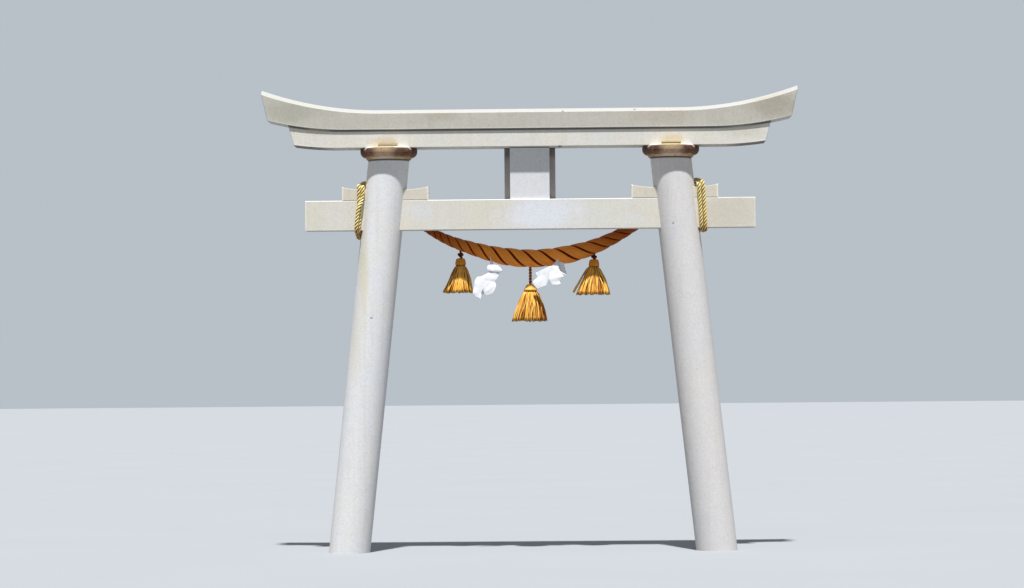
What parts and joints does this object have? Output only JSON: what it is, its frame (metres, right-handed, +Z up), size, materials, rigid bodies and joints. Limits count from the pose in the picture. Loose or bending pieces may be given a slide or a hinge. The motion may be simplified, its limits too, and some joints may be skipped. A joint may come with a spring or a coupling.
{
  "type": "torii gate",
  "caption": "Stone shrine gate with leaning round pillars, capital rings, upswept double lintel, wedged tie beam, a sacred straw rope with tassels and paper streamers",
  "frame": {"origin": "at ground level, midway between the feet of the pillars", "axes": "+X along the beams, to the right as seen from the side that the rope is not on; +Y through the gate, towards the rope and tablet; +Z up"},
  "size_m": [5.941, 0.6887, 5.1297],
  "materials": {
    "pillar_granite": "fine-hammered pale grey granite",
    "beam_granite": "smooth cream granite",
    "capital_stone": "brown-stained granite",
    "strut_granite": "smooth granite",
    "rope_fibre": "twisted straw-coloured fibre",
    "gold_cord": "twisted gold cord",
    "tassel_yarn": "loose gold yarn",
    "paper": "matt white paper"
  },
  "bodies": {
    "root": {"pillar_left": "pillar_granite", "pillar_right": "pillar_granite", "capital_left": "capital_stone", "capital_right": "capital_stone", "shimaki": "beam_granite", "kasagi": "beam_granite", "nuki": "beam_granite", "wedge_left_outer": "beam_granite", "wedge_left_inner": "beam_granite", "wedge_right_outer": "beam_granite", "wedge_right_inner": "beam_granite", "gakuzuka": "strut_granite", "tablet_frame": "strut_granite", "tablet_panel": "strut_granite", "shimenawa": "rope_fibre", "lashing_left_1": "gold_cord", "lashing_left_2": "gold_cord", "lashing_right_1": "gold_cord", "lashing_right_2": "gold_cord", "tassel_left_knot": "gold_cord", "tassel_left_head": "tassel_yarn", "tassel_left_skirt": "tassel_yarn", "tassel_middle_cord": "gold_cord", "tassel_middle_head": "tassel_yarn", "tassel_middle_skirt": "tassel_yarn", "tassel_right_knot": "gold_cord", "tassel_right_head": "tassel_yarn", "tassel_right_skirt": "tassel_yarn", "shide_left": "paper", "shide_right": "paper"}
  },
  "joints": []
}
